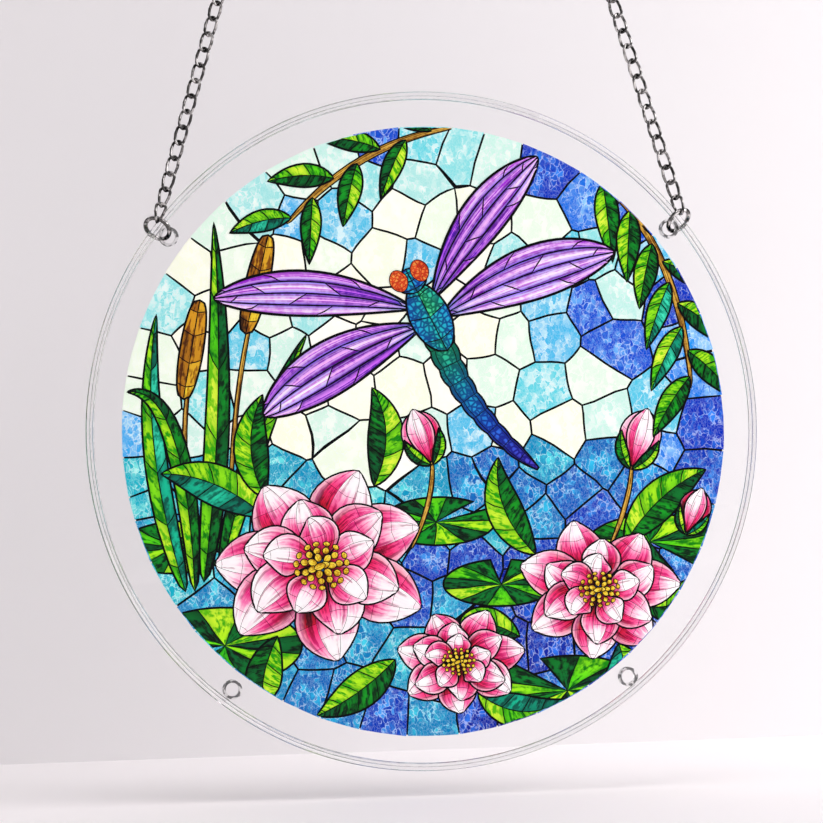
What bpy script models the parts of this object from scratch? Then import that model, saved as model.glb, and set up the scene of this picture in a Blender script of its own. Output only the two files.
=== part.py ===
"""Acrylic suncatcher.

A clear round panel hangs from two jump rings, each through a hole near its rim. A curb chain
runs up from each jump ring, and the two runs meet in one hanging ring.
+X is to the right, +Z is up, and the panel's printed face looks along -Y. The origin is where
a hook carries the hanging ring: the top of the ring's inner edge, on the panel's mid-plane.
"""

import math

import bmesh
import bpy
from mathutils import Matrix, Vector

# Clear panel
PANEL_RADIUS = 0.075
PANEL_THICKNESS = 0.0025
RIM_DEPTH = 0.0015  # how far in from the edge the polished rounding starts
RIM_LAND = 0.0002  # flat left at the very edge, across the thickness
RIM_ARC_STEPS = 2
PANEL_STEPS = 60

# Holes through the panel
HOLE_RADIUS = 0.0015
HOLE_MOUTH_RADIUS = 0.0021  # where the chamfer meets the panel's faces
HOLE_EDGE_DISTANCE = 0.004  # from the panel's edge to the hole's centre
HANGING_HOLE_ANGLE = math.radians(51.9)  # each side of straight up
SPARE_HOLE_ANGLE = math.radians(180 - 38.5)
HOLE_STEPS = 16

# Jump rings, turned as far towards the front as the panel's edge lets them
JUMP_RING_RADIUS = 0.00283  # to the middle of the wire
JUMP_RING_WIRE = 0.00095
JUMP_RING_TURN = math.radians(50)  # between the ring's plane and the panel's
JUMP_RING_SEAT = 0.003  # from the hole's centre out to the ring's centre

# Hanging ring at the top
HANGING_RING_RADIUS = 0.0054
HANGING_RING_WIRE = 0.0011

# Curb chain
LINK_WIRE = 0.0007
LINK_LENGTH = 0.0043  # of the middle of the wire
LINK_WIDTH = 0.00233
LINK_ROUNDNESS = 2.3  # 2 is an ellipse, more is squarer
LINK_TWIST = math.radians(45)  # how far each end is turned from the link's own plane
LINK_PITCH = 0.00354
LINK_POINTS = 8
LINKS_PER_SIDE = 56
SINGLE_LINKS = 26  # those nearest the panel, each a piece of its own
CHAIN_LEAN = math.radians(16.75)  # from upright, for choosing where the jump ring carries it
JUMP_RING_REACH = 0.0012  # from a jump ring's wire to the middle of the link on it
HANGING_RING_REACH = 0.00087
TURN_STEP = math.radians(12)  # how much each link may be turned against the next
TURNED_AT_PANEL = 3
TURNED_AT_TOP = 4

# Links of the joined runs: a little short, so that each one's ends sink into its neighbours'
JOINED_LENGTH = 0.0041
JOINED_POINTS = 8
JOINED_DROP = 0.00013  # lowers the run, so that it clears the wire of the last single link

HEAVY_WIRE_STEPS = (20, 6)  # around a ring, and around its wire
FRONT = Vector((0, -1, 0))
SIDES = {"left": -1, "right": 1}


def clear_scene():
    for obj in list(bpy.data.objects):
        bpy.data.objects.remove(obj, do_unlink=True)


def new_collection(name):
    collection = bpy.data.collections.new(name)
    bpy.context.scene.collection.children.link(collection)
    return collection


def principled(name, color, roughness, metallic=0.0, transmission=0.0, ior=1.5):
    material = bpy.data.materials.new(name)
    material.use_nodes = True
    shader = material.node_tree.nodes["Principled BSDF"]
    shader.inputs["Base Color"].default_value = (*color, 1)
    shader.inputs["Roughness"].default_value = roughness
    shader.inputs["Metallic"].default_value = metallic
    shader.inputs["Transmission Weight"].default_value = transmission
    shader.inputs["IOR"].default_value = ior
    material.diffuse_color = (*color, 1)
    return material


def add_object(name, data, collection, material=None):
    obj = bpy.data.objects.new(name, data)
    collection.objects.link(obj)
    if material and not data.materials:
        data.materials.append(material)
    return obj


def turned(name, profile, steps, collection, material=None):
    """A solid turned about Z from a profile of (radius, height) points, from its top to its bottom."""
    mesh = bpy.data.meshes.new(name)
    shape = bmesh.new()
    corners = [shape.verts.new((radius, 0, height)) for radius, height in profile]
    for upper, lower in zip(corners, corners[1:]):
        shape.edges.new((upper, lower))
    shape.to_mesh(mesh)
    shape.free()
    obj = add_object(name, mesh, collection, material)
    screw = obj.modifiers.new("turn", "SCREW")
    screw.axis = "Z"
    screw.steps = screw.render_steps = steps
    screw.use_merge_vertices = True
    screw.merge_threshold = 0.00001
    screw.use_smooth_shade = True
    return obj


def face_front(obj):
    """Turns a solid made about Z so that its axis runs through the panel."""
    obj.rotation_euler = (math.radians(90), 0, 0)


# ---------------------------------------------------------------- places

def radial(side, angle):
    """The direction in the panel's plane, angle away from straight up towards the side."""
    return Vector((side * math.sin(angle), 0, math.cos(angle)))


def jump_ring_axes(side):
    """Two directions in a jump ring's plane: out from the panel, and across the rim to the front."""
    outward = radial(side, HANGING_HOLE_ANGLE)
    along_rim = Vector((-side * outward.z, 0, side * outward.x))
    across = along_rim * math.cos(JUMP_RING_TURN) + FRONT * math.sin(JUMP_RING_TURN)
    return outward, across


def jump_ring_centre(side):
    """From the panel's centre."""
    hole = PANEL_RADIUS - HOLE_EDGE_DISTANCE
    return radial(side, HANGING_HOLE_ANGLE) * (hole + JUMP_RING_SEAT)


def chain_foot(side):
    """The middle of the jump ring's wire where the chain bears on it, from the panel's centre."""
    outward, across = jump_ring_axes(side)
    pull = Vector((-side * math.sin(CHAIN_LEAN), 0, math.cos(CHAIN_LEAN)))
    angle = math.atan2(across.dot(pull), outward.dot(pull))
    reach = outward * math.cos(angle) + across * math.sin(angle)
    return jump_ring_centre(side) + reach * JUMP_RING_RADIUS


HANGING_RING_CENTRE = Vector((0, 0, HANGING_RING_WIRE / 2 - HANGING_RING_RADIUS))
CHAIN_SPAN = JUMP_RING_REACH + (LINKS_PER_SIDE - 1) * LINK_PITCH + HANGING_RING_REACH
CHAIN_REACH = CHAIN_SPAN + HANGING_RING_RADIUS  # from its foot to the hanging ring's centre


def panel_centre():
    foot = chain_foot(1)
    drop = math.sqrt(CHAIN_REACH**2 - foot.x**2 - foot.y**2)
    return HANGING_RING_CENTRE - Vector((0, 0, drop + foot.z))


PANEL_CENTRE = panel_centre()


def chain_frame(side):
    """The chain's foot, and a turn whose Z runs up the chain and whose X lies in its flat."""
    foot = PANEL_CENTRE + chain_foot(side)
    up = (HANGING_RING_CENTRE - foot).normalized()
    flat = Vector((0, 1, 0)).cross(up).normalized()
    turn = Matrix((flat, up.cross(flat), up)).transposed()
    return foot, turn


def link_turn(index):
    """How far a link is turned about the chain, so that each end link meets its ring squarely."""
    from_top = LINKS_PER_SIDE - 1 - index
    at_panel = max(0, TURNED_AT_PANEL - index) * TURN_STEP
    at_top = max(0, TURNED_AT_TOP - from_top) * TURN_STEP
    return at_panel - at_top


# ---------------------------------------------------------------- pieces

def rim_profile():
    """One half-section of the panel, from the middle of one face round the rim to the other."""
    half = PANEL_THICKNESS / 2
    rise = half - RIM_LAND / 2
    arc = []
    for step in range(RIM_ARC_STEPS + 1):
        angle = math.radians(90) * step / RIM_ARC_STEPS
        radius = PANEL_RADIUS - RIM_DEPTH * (1 - math.sin(angle))
        arc.append((radius, half - rise * (1 - math.cos(angle))))
    return [(0, half), *arc, *[(r, -h) for r, h in reversed(arc)], (0, -half)]


def make_panel(collection, cutters, material):
    panel = turned("acrylic_panel", rim_profile(), PANEL_STEPS, collection, material)
    face_front(panel)
    panel.location = PANEL_CENTRE

    half = PANEL_THICKNESS / 2
    chamfer = HOLE_MOUTH_RADIUS - HOLE_RADIUS
    past = chamfer  # how far the cutter runs past each face
    upper = [
        (0, half + past),
        (HOLE_MOUTH_RADIUS + past, half + past),
        (HOLE_RADIUS, half - chamfer),
    ]
    profile = [*upper, *[(r, -h) for r, h in reversed(upper)]]
    for side_name, side in SIDES.items():
        for use, angle in (("hanging", HANGING_HOLE_ANGLE), ("spare", SPARE_HOLE_ANGLE)):
            cutter = turned(f"{side_name}_{use}_hole_cutter", profile, HOLE_STEPS, cutters)
            face_front(cutter)
            reach = PANEL_RADIUS - HOLE_EDGE_DISTANCE
            cutter.location = PANEL_CENTRE + radial(side, angle) * reach
            cutter.hide_render = True
            cutter.display_type = "WIRE"
    cut = panel.modifiers.new("holes", "BOOLEAN")
    cut.operation = "DIFFERENCE"
    cut.solver = "EXACT"
    cut.operand_type = "COLLECTION"
    cut.collection = cutters
    return panel


def make_ring(name, radius, wire, collection, material):
    around, section = HEAVY_WIRE_STEPS
    bpy.ops.mesh.primitive_torus_add(
        major_radius=radius, minor_radius=wire / 2, major_segments=around, minor_segments=section
    )
    ring = bpy.context.object
    ring.name = ring.data.name = name
    for owner in list(ring.users_collection):
        owner.objects.unlink(ring)
    collection.objects.link(ring)
    ring.data.materials.append(material)
    ring.data.shade_smooth()
    return ring


def make_jump_ring(side_name, side, collection, material):
    ring = make_ring(
        f"{side_name}_jump_ring", JUMP_RING_RADIUS, JUMP_RING_WIRE, collection, material
    )
    outward, across = jump_ring_axes(side)
    turn = Matrix((outward, across, outward.cross(across))).transposed()
    ring.rotation_euler = turn.to_euler()
    ring.location = PANEL_CENTRE + jump_ring_centre(side)
    return ring


def link_curve(name, side, length, points, material):
    """A closed, twisted oval of wire about the origin, its length along Z."""
    curve = bpy.data.curves.new(name, "CURVE")
    curve.dimensions = "3D"
    curve.bevel_depth = LINK_WIRE / 2
    curve.bevel_resolution = 0
    spline = curve.splines.new("POLY")
    spline.points.add(points - 1)
    spline.use_cyclic_u = True
    power = 2 / LINK_ROUNDNESS
    for index, point in enumerate(spline.points):
        angle = 2 * math.pi * (index + 0.5) / points
        across = math.copysign(abs(math.sin(angle)) ** power, math.sin(angle))
        along = math.copysign(abs(math.cos(angle)) ** power, math.cos(angle))
        twist = side * LINK_TWIST * along
        x = LINK_WIDTH / 2 * across * math.cos(twist)
        y = LINK_WIDTH / 2 * across * math.sin(twist)
        point.co = (x, y, length / 2 * along, 1)
    curve.materials.append(material)
    return curve


def place_link(obj, side, index, drop=0.0):
    """Puts a link at its place in the run, counted from the jump ring."""
    foot, turn = chain_frame(side)
    obj.location = foot + turn @ Vector((0, 0, JUMP_RING_REACH + index * LINK_PITCH - drop))
    obj.rotation_euler = (turn @ Matrix.Rotation(-side * link_turn(index), 3, "Z")).to_euler()


def welded_mesh(obj):
    """A curve object's tube as a mesh object in the same place."""
    bpy.context.view_layer.update()
    graph = bpy.context.evaluated_depsgraph_get()
    mesh = bpy.data.meshes.new_from_object(obj.evaluated_get(graph))
    shape = bmesh.new()
    shape.from_mesh(mesh)
    bmesh.ops.remove_doubles(shape, verts=shape.verts, dist=0.000001)
    bmesh.ops.recalc_face_normals(shape, faces=shape.faces)
    shape.to_mesh(mesh)
    shape.free()
    made = add_object(obj.name + "_solid", mesh, obj.users_collection[0])
    made.matrix_world = obj.matrix_world
    bpy.data.objects.remove(obj, do_unlink=True)
    return made


def make_single_links(side_name, side, collection, material):
    curve = link_curve(f"{side_name}_link", side, LINK_LENGTH, LINK_POINTS, material)
    for index in range(SINGLE_LINKS):
        link = add_object(f"{side_name}_chain_link_{index + 1:02d}", curve, collection)
        place_link(link, side, index)


def make_joined_links(side_name, side, collection, material):
    """The rest of the run as one solid, its links fused where they bear on each other."""
    helpers = new_collection(f"{side_name} links to join")
    curve = link_curve(f"{side_name}_joined_link", side, JOINED_LENGTH, JOINED_POINTS, material)
    links = []
    for index in range(SINGLE_LINKS, LINKS_PER_SIDE):
        link = add_object(f"{side_name}_joined_{index + 1:02d}", curve, helpers)
        place_link(link, side, index, JOINED_DROP)
        links.append(welded_mesh(link))
    run = links[0]
    run.name = run.data.name = f"{side_name}_chain_upper_run"
    helpers.objects.unlink(run)
    collection.objects.link(run)
    for link in links[1:]:
        link.hide_render = True
        link.display_type = "WIRE"
    join = run.modifiers.new("join", "BOOLEAN")
    join.operation = "UNION"
    join.solver = "EXACT"
    join.operand_type = "COLLECTION"
    join.collection = helpers


def build():
    clear_scene()
    parts = new_collection("Acrylic suncatcher")
    cutters = new_collection("Hole cutters")
    acrylic = principled("clear acrylic", (1, 1, 1), 0.02, transmission=1.0, ior=1.49)
    ring_steel = principled("bright steel ring", (0.72, 0.71, 0.70), 0.16, metallic=1.0)
    chain_steel = principled("dark nickel chain", (0.42, 0.40, 0.39), 0.24, metallic=1.0)

    make_panel(parts, cutters, acrylic)
    for side_name, side in SIDES.items():
        make_jump_ring(side_name, side, parts, ring_steel)
        make_single_links(side_name, side, parts, chain_steel)
        make_joined_links(side_name, side, parts, chain_steel)
    hanging_ring = make_ring(
        "hanging_ring", HANGING_RING_RADIUS, HANGING_RING_WIRE, parts, ring_steel
    )
    face_front(hanging_ring)
    hanging_ring.location = HANGING_RING_CENTRE


build()
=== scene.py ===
# %% [markdown]
# # A leaded-glass style acrylic suncatcher
# The real thing is a clear acrylic disc with a bright picture printed on its front, hung from two
# jump rings and a curb chain. The solid model already fixes every size. This notebook gives it
# its looks: a finely turned disc, round wire, real chain links, and a picture built up from
# hundreds of thin panes of colour with black lead lines between them.

# %% Load the solid model
import random
from collections import defaultdict
from contextlib import contextmanager
from math import copysign, cos, pi, radians, sin

import bmesh
import bpy
from mathutils import Matrix, Vector, noise


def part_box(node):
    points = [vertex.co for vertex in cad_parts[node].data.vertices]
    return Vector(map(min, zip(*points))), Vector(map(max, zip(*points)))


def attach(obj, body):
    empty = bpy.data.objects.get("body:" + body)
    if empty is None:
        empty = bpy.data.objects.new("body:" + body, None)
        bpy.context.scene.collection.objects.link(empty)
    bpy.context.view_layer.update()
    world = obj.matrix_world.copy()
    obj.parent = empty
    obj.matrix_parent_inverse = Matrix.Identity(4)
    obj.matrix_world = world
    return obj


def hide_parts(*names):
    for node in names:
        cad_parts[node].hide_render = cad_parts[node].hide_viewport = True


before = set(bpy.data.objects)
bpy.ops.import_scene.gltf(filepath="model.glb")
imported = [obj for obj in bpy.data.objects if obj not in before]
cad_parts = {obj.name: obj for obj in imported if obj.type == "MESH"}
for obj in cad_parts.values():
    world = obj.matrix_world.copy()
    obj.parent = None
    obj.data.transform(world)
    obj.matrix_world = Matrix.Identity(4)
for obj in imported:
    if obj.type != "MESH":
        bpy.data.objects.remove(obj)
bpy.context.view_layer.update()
MM = 0.001

# %% [markdown]
# ## The disc in numbers
# Everything hangs on the disc, so its middle, radius and front face are read from the solid model
# once. The hole and ring sizes repeat the ones that it was built with.

# %% Sizes read from the solid model
panel_low, panel_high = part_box("acrylic_panel")
CENTRE = (panel_low + panel_high) / 2
RADIUS = (panel_high.x - panel_low.x) / 2
THICKNESS = panel_high.y - panel_low.y
FRONT = Vector((0, -1, 0))
SIDES = {"left": -1, "right": 1}

HOLE_RADIUS = 1.5 * MM
HOLE_CHAMFER = 0.6 * MM
HOLE_REACH = RADIUS - 4 * MM
HANGING_HOLE_ANGLE = radians(51.9)
SPARE_HOLE_ANGLE = radians(180 - 38.5)
print(f"disc: {2 * RADIUS / MM:.0f} mm across, {THICKNESS / MM:.1f} mm thick")

# %% [markdown]
# ## Camera
# A long lens from a little left of square keeps the disc nearly round. The camera is rolled a
# touch, so that the disc seems to hang slightly turned. The disc fills a little over four fifths of
# the view's width.

# %% Camera
CAMERA_DISTANCE = 0.9
CAMERA_AZIMUTH = radians(-9)
CAMERA_ROLL = radians(1.35)
DISC_SHARE = 0.8255
VIEW_WIDTH = 2 * RADIUS / DISC_SHARE
AIM = Vector((-3.0, 0, 4.4)) * MM


def make_camera():
    back = Vector((sin(CAMERA_AZIMUTH), -cos(CAMERA_AZIMUTH), 0))
    data = bpy.data.cameras.new("camera")
    data.sensor_width = 36
    data.lens = data.sensor_width * CAMERA_DISTANCE / VIEW_WIDTH
    camera = bpy.data.objects.new("camera", data)
    bpy.context.scene.collection.objects.link(camera)
    place = CENTRE + back * CAMERA_DISTANCE
    aim = CENTRE + AIM - place
    camera.location = place
    turn = aim.to_track_quat("-Z", "Y").to_matrix().to_4x4()
    camera.rotation_euler = (turn @ Matrix.Rotation(-CAMERA_ROLL, 4, "Z")).to_euler()
    bpy.context.scene.camera = camera
    return camera


camera = make_camera()
bpy.context.scene.view_settings.view_transform = "Standard"
print(f"camera: {camera.data.lens:.0f} mm lens")

# %% [markdown]
# ## Writing materials as arithmetic
# Node trees get long. These two small classes keep them short: a `Tone` is one output of a node,
# and sums on it add the Math nodes; a `Finish` is a material with one method that adds a node.


# %% Material helpers
class Tone:
    """One output of a node. Arithmetic on it adds the Math nodes that work it out."""

    def __init__(self, finish, socket):
        self.finish = finish
        self.socket = socket

    def maths(self, operation, first, second):
        return self.finish.add("ShaderNodeMath", {"operation": operation}, {0: first, 1: second})

    def __add__(self, other):
        return self.maths("ADD", self, other)

    def __sub__(self, other):
        return self.maths("SUBTRACT", self, other)

    def __rsub__(self, other):
        return self.maths("SUBTRACT", other, self)

    def __mul__(self, other):
        return self.maths("MULTIPLY", self, other)

    __radd__ = __add__
    __rmul__ = __mul__


class Finish:
    """A material with its Principled shader at hand."""

    def __init__(self, name, **plain):
        self.material = bpy.data.materials.new(name)
        self.material.use_nodes = True
        self.tree = self.material.node_tree
        self.shader = self.tree.nodes["Principled BSDF"]
        for socket, value in plain.items():
            self.set(socket.replace("_", " ").title().replace("Ior", "IOR"), value)

    def feed(self, socket, value):
        if isinstance(value, Tone):
            self.tree.links.new(value.socket, socket)
        else:
            socket.default_value = value

    def set(self, socket, value):
        self.feed(self.shader.inputs[socket], value)

    def add(self, kind, settings=None, inputs=None, output=0):
        node = self.tree.nodes.new(kind)
        for name, value in (settings or {}).items():
            setattr(node, name, value)
        for key, value in (inputs or {}).items():
            self.feed(node.inputs[key], value)
        return Tone(self, node.outputs[output])

    def place(self):
        return self.add("ShaderNodeTexCoord", output="Object")

    def noise(self, vector, scale, detail=2.0, roughness=0.5):
        values = {"Vector": vector, "Scale": scale, "Detail": detail, "Roughness": roughness}
        return self.add("ShaderNodeTexNoise", inputs=values)

    def between(self, value, low, high):
        """0 where value is under low, 1 where it is over high, and a smooth step between."""
        inputs = {"Value": value, "From Min": low, "From Max": high}
        return self.add("ShaderNodeMapRange", {"interpolation_type": "SMOOTHSTEP"}, inputs)

    def mix(self, factor, first, second):
        inputs = {0: factor, 6: first, 7: second}
        return self.add("ShaderNodeMix", {"data_type": "RGBA"}, inputs, 2)

    def bump(self, height, distance, strength):
        values = {"Height": height, "Distance": distance, "Strength": strength}
        self.set("Normal", self.add("ShaderNodeBump", inputs=values))


# %% [markdown]
# ## Modelling helpers
# Edit mode works on whatever is selected, and loading leaves things selected. So every edit goes
# through `editing`, which selects one object first, and `pick`, which selects faces by a rule.


# %% Modelling helpers
def activate(obj):
    bpy.ops.object.select_all(action="DESELECT")
    obj.select_set(True)
    bpy.context.view_layer.objects.active = obj


@contextmanager
def editing(obj, action="SELECT", mode="FACE"):
    activate(obj)
    bpy.ops.object.mode_set(mode="EDIT")
    bpy.ops.mesh.select_mode(type=mode)
    bpy.ops.mesh.select_all(action=action)
    yield
    bpy.ops.object.mode_set(mode="OBJECT")


def pick(obj, test, kind="faces"):
    """Selects, in edit mode, just the faces, edges or verts that pass the test."""
    bpy.ops.mesh.select_all(action="DESELECT")
    mesh = bmesh.from_edit_mesh(obj.data)
    for item in getattr(mesh, kind):
        if test(item):
            item.select_set(True)
    mesh.select_flush_mode()
    bmesh.update_edit_mesh(obj.data)


def rename(obj, name):
    obj.name = obj.data.name = name


def join(objects, name):
    activate(objects[0])
    for obj in objects:
        obj.select_set(True)
    if len(objects) > 1:
        bpy.ops.object.join()
    joined = bpy.context.view_layer.objects.active
    rename(joined, name)
    return joined


def apply_modifier(obj, kind, **settings):
    activate(obj)
    modifier = obj.modifiers.new(kind.lower(), kind)
    for name, value in settings.items():
        setattr(modifier, name, value)
    bpy.ops.object.modifier_apply(modifier=modifier.name)


def copy_of(obj):
    twin = obj.copy()
    twin.data = obj.data.copy()
    bpy.context.scene.collection.objects.link(twin)
    return twin


def discard(obj):
    bpy.data.objects.remove(obj, do_unlink=True)


def settle(obj, matrix):
    """Moves an object's own place, and then the matrix, into its mesh, so it ends at the origin."""
    obj.data.transform(matrix @ obj.matrix_basis)
    obj.matrix_basis = Matrix.Identity(4)


def wear(obj, finish):
    obj.data.materials.clear()
    obj.data.materials.append(finish.material)
    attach(obj, "root")


QUARTER = Matrix.Rotation(radians(90), 4, "X")
UPRIGHT = Matrix.Translation(CENTRE) @ QUARTER
FLAT = 0.9


def caps(way):
    """The test for a face that looks straight up or down the Z axis."""
    return lambda face: face.normal.z * way > FLAT


def draw_out(rise, ratio, centre=(0, 0, 0)):
    """Extrudes the picked face along Z and scales the new one about the centre."""
    bpy.ops.mesh.extrude_region_move(TRANSFORM_OT_translate={"value": (0, 0, rise)})
    bpy.ops.transform.resize(value=(ratio, ratio, 1), center_override=centre)


def on_disc(side, angle, reach):
    """A point of the disc's plane, angle away from straight up towards the side."""
    return Vector((side * sin(angle), cos(angle), 0)) * reach


def ray(angle, squash=1.0):
    """The direction at an angle from the X axis, flattened the way things on the water look."""
    return Vector((cos(angle), sin(angle) * squash, 0))

# %% [markdown]
# ## Stage and light
# A plain pale floor meets a plain wall a hand's width behind the disc. Large soft lights keep the
# picture bright, and the darker space between them gives the steel something to reflect.

# %% Stage and light
FLOOR_DROP = 80.5 * MM
WALL_GAP = 130 * MM
STAGE_REACH = 3.0
WALL_SIDE = 0.5
WORLD_STRENGTH = 0.3
LIGHTS = {
    "key": ((1.0, -1.0, 0.8), (1.0, 1.0), 7.2, (1.0, 0.94, 0.965)),
    "front": ((-0.1, -1.3, 0.12), (1.0, 0.8), 1.2, (1.0, 0.97, 0.98)),
    "top": ((0.15, -0.2, 1.3), (1.2, 0.8), 7.2, (1.0, 0.95, 0.96)),
    "wash": ((0.45, -0.1, 0.12), (0.25, 0.4), 0.95, (1.0, 1.0, 1.0)),
}


def make_paint(name, dull, bright):
    paint = Finish(name)
    tone = paint.noise(paint.place(), 2.2, detail=3)
    paint.set("Base Color", paint.mix(tone, dull, bright))
    paint.set("Roughness", paint.between(tone, 0.3, 0.7) * 0.08 + 0.55)
    return paint


def one_sided(finish):
    """Makes the side that faces away from the object clear, so that it hides nothing from behind."""
    behind = finish.add("ShaderNodeNewGeometry", output="Backfacing")
    clear = finish.add("ShaderNodeBsdfTransparent")
    front = Tone(finish, finish.shader.outputs["BSDF"])
    mixed = finish.add("ShaderNodeMixShader", inputs={0: behind, 1: front, 2: clear})
    finish.tree.links.new(mixed.socket, finish.tree.nodes["Material Output"].inputs["Surface"])


def make_stage():
    bpy.ops.mesh.primitive_plane_add(size=2 * STAGE_REACH)
    floor = bpy.context.object
    floor.name = "floor"
    settle(floor, Matrix.Translation(CENTRE - Vector((0, 0, FLOOR_DROP))))
    ground = make_paint("floor paint", (0.94, 0.91, 0.915, 1), (0.98, 0.95, 0.955, 1))
    floor.data.materials.append(ground.material)
    bpy.ops.mesh.primitive_plane_add(size=1)
    wall = bpy.context.object
    wall.name = "wall"
    size = Matrix.Diagonal((WALL_SIDE, WALL_SIDE, 1, 1))
    middle = CENTRE + Vector((0, WALL_GAP, WALL_SIDE / 2 - FLOOR_DROP))
    settle(wall, Matrix.Translation(middle) @ QUARTER @ size)
    paint = make_paint("wall paint", (0.88, 0.855, 0.865, 1), (0.93, 0.91, 0.915, 1))
    one_sided(paint)
    wall.data.materials.append(paint.material)


def make_light(name, place, size, power, colour):
    data = bpy.data.lights.new(name, "AREA")
    data.shape = "RECTANGLE"
    data.size, data.size_y = size
    data.energy = power
    data.color = colour
    light = bpy.data.objects.new(name, data)
    light.location = CENTRE + Vector(place)
    light.rotation_euler = (-Vector(place)).to_track_quat("-Z", "Y").to_euler()
    light.visible_camera = False
    bpy.context.scene.collection.objects.link(light)


def make_world():
    world = bpy.data.worlds.new("studio")
    world.use_nodes = True
    background = world.node_tree.nodes["Background"]
    background.inputs["Color"].default_value = (0.98, 0.97, 1.0, 1)
    background.inputs["Strength"].default_value = WORLD_STRENGTH
    bpy.context.scene.world = world


make_stage()
make_world()
for name, numbers in LIGHTS.items():
    make_light(name, *numbers)
print("stage and", len(LIGHTS), "lights")

# %% [markdown]
# ## Clear acrylic
# Cast acrylic is clearer than window glass and bends light a little less. Its faces are glassy but
# faintly wavy. The faces inside the holes and the small shoulders of the rim carry an attribute. The
# more of it, the rougher they are and the more their colour turns to blotches of grey and near-black:
# partly the frost of a cut face, partly painted shade for the dark lines and spots that the edges
# of a clear disc show.

# %% Acrylic finish
def make_acrylic():
    clear = Finish("clear acrylic", transmission_weight=1.0, ior=1.49)
    drilled = clear.add("ShaderNodeAttribute", {"attribute_name": "drilled"}, output="Fac")
    place = clear.place()
    shade_blotches = clear.between(clear.noise(place, 760, detail=1), 0.44, 0.52)
    # Painted shade: grey and near-black blotches for the cut faces, partly their frost.
    dull = clear.mix(shade_blotches, (0.76, 0.75, 0.75, 1), (0.03, 0.03, 0.03, 1))
    clear.set("Base Color", clear.mix(drilled, (0.985, 0.988, 0.99, 1), dull))
    clear.set("Roughness", drilled * 0.3 + 0.012)
    clear.bump(clear.noise(place, 160, detail=1), 0.02 * MM, 0.25)
    return clear


ACRYLIC = make_acrylic()
print("finish:", ACRYLIC.material.name)

# %% [markdown]
# ## The disc
# The disc starts as a thin many-sided cylinder, which is the flat left at the very edge. Each face
# is then pulled out and drawn in step by step. The rim is cut with three small shoulders, which show
# as three fine grey lines round the clear border, grey partly by painted shade on their steep faces.
# A narrow inset keeps the shading of the rim from spreading over the face.

# %% Turn the disc
RIM_STEPS = 256
RIM_LAND = 0.2 * MM
RIM_MARGIN = 0.3 * MM
RIM_WIDTH = 1.8 * MM
SHOULDERS = ((0.18, 0.42), (0.99, 0.60), (1.11, 0.76), (1.63, 0.84), (1.77, 1.0))


def turn_disc():
    bpy.ops.mesh.primitive_cylinder_add(
        vertices=RIM_STEPS, radius=RADIUS, depth=RIM_LAND, end_fill_type="NGON"
    )
    disc = bpy.context.object
    rise = (THICKNESS - RIM_LAND) / 2
    with editing(disc, "DESELECT"):
        for side in (1, -1):
            pick(disc, caps(side))
            height, reach = 0.0, RADIUS
            for inset, share in SHOULDERS:
                new_height = rise * share
                new_reach = RADIUS - inset * MM
                draw_out(side * (new_height - height), new_reach / reach)
                height, reach = new_height, new_reach
            bpy.ops.mesh.inset(thickness=RIM_MARGIN)
    return disc


disc = turn_disc()
print("disc:", len(disc.data.polygons), "faces before drilling")

# %% [markdown]
# ## The holes
# A hole in acrylic is drilled and then countersunk lightly on both faces. One cutter does both: a
# short cylinder whose ends are pulled out into cones. Four copies are taken from the disc at once.

# %% Drill the holes
HOLE_STEPS = 64
CUTTER_PAST = 0.5 * MM
# How much roughness and painted grey shade each cut face gets; the rim's shoulders get less.
HOLE_FROST_AND_SHADE = 1.0
RIM_FROST_AND_SHADE = 0.42
STEEPEST = 0.05
SHALLOWEST = 0.8


def make_cutter(place):
    bore = THICKNESS - 2 * HOLE_CHAMFER
    bpy.ops.mesh.primitive_cylinder_add(
        vertices=HOLE_STEPS, radius=HOLE_RADIUS, depth=bore, end_fill_type="NGON", location=place
    )
    cutter = bpy.context.object
    flare = HOLE_CHAMFER + CUTTER_PAST
    ratio = (HOLE_RADIUS + flare) / HOLE_RADIUS
    with editing(cutter, "DESELECT"):
        for side in (1, -1):
            pick(cutter, caps(side))
            draw_out(side * flare, ratio, place)
    return cutter


def drill(disc):
    angles = (HANGING_HOLE_ANGLE, SPARE_HOLE_ANGLE)
    places = [on_disc(side, angle, HOLE_REACH) for side in SIDES.values() for angle in angles]
    cutter = join([make_cutter(place) for place in places], "cutter")
    apply_modifier(disc, "BOOLEAN", operation="DIFFERENCE", solver="EXACT", object=cutter)
    discard(cutter)
    return len(places)


def mark_frost_and_shade(disc):
    """Marks the walls and chamfers of the holes in full, the steep parts of the rim in part."""
    drilled = disc.data.attributes.new("drilled", "FLOAT", "FACE")
    marked = 0
    for face in disc.data.polygons:
        flatness = abs(face.normal.z)
        if Vector(face.center.xy).length < RADIUS - RIM_WIDTH:
            frost_and_shade = HOLE_FROST_AND_SHADE if flatness < FLAT else 0.0
        else:
            frost_and_shade = RIM_FROST_AND_SHADE if STEEPEST < flatness < SHALLOWEST else 0.0
        drilled.data[face.index].value = frost_and_shade
        marked += frost_and_shade > 0
    return marked


holes = drill(disc)
print("frosted faces:", mark_frost_and_shade(disc))
activate(disc)
bpy.ops.object.shade_smooth_by_angle(angle=radians(30))
rename(disc, "clear_disc")
settle(disc, UPRIGHT)
wear(disc, ACRYLIC)
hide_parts("acrylic_panel")
print(f"disc drilled with {holes} holes, {len(disc.data.polygons)} faces")

# %% [markdown]
# ## Plated wire
# The rings are bright nickel and the chain is a darker, smokier plating. Both are nearly mirrors,
# with small changes of roughness and a faint drawn grain. Their base colour is blotched pale and
# near-black: painted highlights and painted dark reflections, which at this size read as the glints
# and dark lines of polished wire. A dark specular tint darkens the grazing reflections, painted
# shade for the dark outlines that polished round metal shows.

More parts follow.
